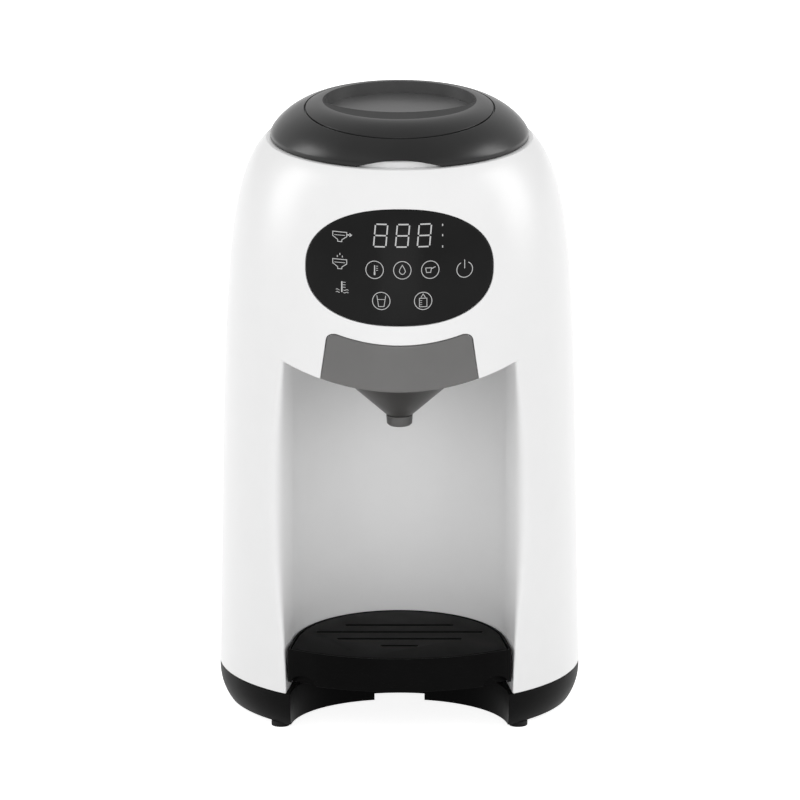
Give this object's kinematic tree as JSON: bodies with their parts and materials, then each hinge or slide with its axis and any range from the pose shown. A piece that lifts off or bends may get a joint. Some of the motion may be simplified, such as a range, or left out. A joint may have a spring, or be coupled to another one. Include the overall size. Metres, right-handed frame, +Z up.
{
  "type": "baby formula maker",
  "caption": "Counter-top baby formula maker: round-fronted housing with an open bottle bay, pull-out funnel, powder canister under a lid, rear water tank and drip tray.",
  "frame": {"origin": "on the table plane under the middle of the outer box", "axes": "+Z up, +X to the machine's right as seen from the front, +Y to the back; the front faces -Y"},
  "size_m": [0.1726, 0.2112, 0.2965],
  "materials": {
    "white_shell": "satin gloss",
    "black_plastic": "satin",
    "charcoal_plastic": "satin gloss",
    "panel_gloss": "gloss",
    "smoked_plastic": "smoked, gloss",
    "tank_plastic": "smoked clear",
    "clear_plastic": "clear",
    "grey_plastic": "matte",
    "inner_black": "matte",
    "rubber": "matte",
    "silicone": "soft matte",
    "steel": "brushed",
    "brass": "turned",
    "circuit_board": "solder mask"
  },
  "bodies": {
    "machine": {"base_left": "black_plastic", "base_right": "black_plastic", "base_deck": "black_plastic", "foot_front_left": "rubber", "foot_front_right": "rubber", "foot_rear_left": "rubber", "foot_rear_right": "rubber", "base_screw_front_left": "steel", "base_screw_front_right": "steel", "base_screw_rear_left": "steel", "base_screw_rear_right": "steel", "housing_left": "white_shell", "housing_right": "white_shell", "housing_top": "white_shell", "canister_collar": "white_shell", "bay_liner": "white_shell", "funnel_pocket": "white_shell", "rear_panel": "white_shell", "control_lens": "panel_gloss", "digit_display": "inner_black", "display_board": "circuit_board", "powder_motor": "steel", "drive_deck": "grey_plastic", "powder_chute": "grey_plastic", "water_nozzle": "grey_plastic", "tank_coupling": "grey_plastic", "water_pump": "inner_black", "flow_meter": "grey_plastic", "boiler": "steel", "boiler_bracket": "grey_plastic", "temperature_sensor": "brass", "suction_hose": "silicone", "pressure_hose": "silicone", "hot_water_hose": "silicone", "main_board": "circuit_board", "power_board": "circuit_board", "funnel_switch": "inner_black", "mains_inlet": "inner_black"},
    "funnel": {"funnel": "smoked_plastic", "funnel_plate": "smoked_plastic", "spout_tip": "silicone"},
    "tray": {"drip_tray": "black_plastic"},
    "grate": {"tray_grate": "black_plastic"},
    "lid": {"lid": "charcoal_plastic", "lid_seal": "silicone"},
    "canister": {"canister": "clear_plastic", "canister_floor": "clear_plastic", "canister_rim": "clear_plastic", "leveller": "grey_plastic"},
    "wheel": {"dosing_wheel": "grey_plastic", "stirrer": "grey_plastic"},
    "gear": {"drive_gear": "grey_plastic"},
    "pinion": {"motor_pinion": "brass"},
    "tank": {"water_tank": "tank_plastic", "tank_front": "tank_plastic", "tank_floor": "tank_plastic", "tank_valve": "silicone", "tank_lid_pin": "steel"},
    "tank_lid": {"tank_lid": "black_plastic"}
  },
  "joints": [
    {"name": "canister_lift", "type": "slide", "parent": "machine", "child": "canister", "axis": [0, 0, 1], "range_m": [0, 0.08]},
    {"name": "lid_lift", "type": "slide", "parent": "canister", "child": "lid", "axis": [0, 0, 1], "range_m": [0, 0.04]},
    {"name": "gear_spin", "type": "hinge", "parent": "machine", "child": "gear", "pos_m": [0, -0.0196, 0.211], "axis": [0, 0, 1], "continuous": true},
    {"name": "pinion_spin", "type": "hinge", "parent": "machine", "child": "pinion", "pos_m": [0, 0.0104, 0.211], "axis": [0, 0, 1], "continuous": true},
    {"name": "wheel_spin", "type": "hinge", "parent": "canister", "child": "wheel", "pos_m": [0, -0.0196, 0.222], "axis": [0, 0, 1], "continuous": true},
    {"name": "funnel_slide", "type": "slide", "parent": "machine", "child": "funnel", "axis": [0, -1, 0], "range_m": [0, 0.09]},
    {"name": "tray_slide", "type": "slide", "parent": "machine", "child": "tray", "axis": [0, -1, 0], "range_m": [0, 0.09]},
    {"name": "grate_lift", "type": "slide", "parent": "tray", "child": "grate", "axis": [0, 0, 1], "range_m": [0, 0.03]},
    {"name": "tank_lift", "type": "slide", "parent": "machine", "child": "tank", "axis": [0, 0, 1], "range_m": [0, 0.1]},
    {"name": "tank_lid_hinge", "type": "hinge", "parent": "tank", "child": "tank_lid", "pos_m": [0, 0.053, 0.2176], "axis": [1, 0, 0], "range_deg": [0, 75]}
  ],
  "couplings": [
    {"joint": "pinion_spin", "follows": "gear_spin", "ratio": -2.3333},
    {"joint": "wheel_spin", "follows": "gear_spin", "ratio": 1}
  ]
}
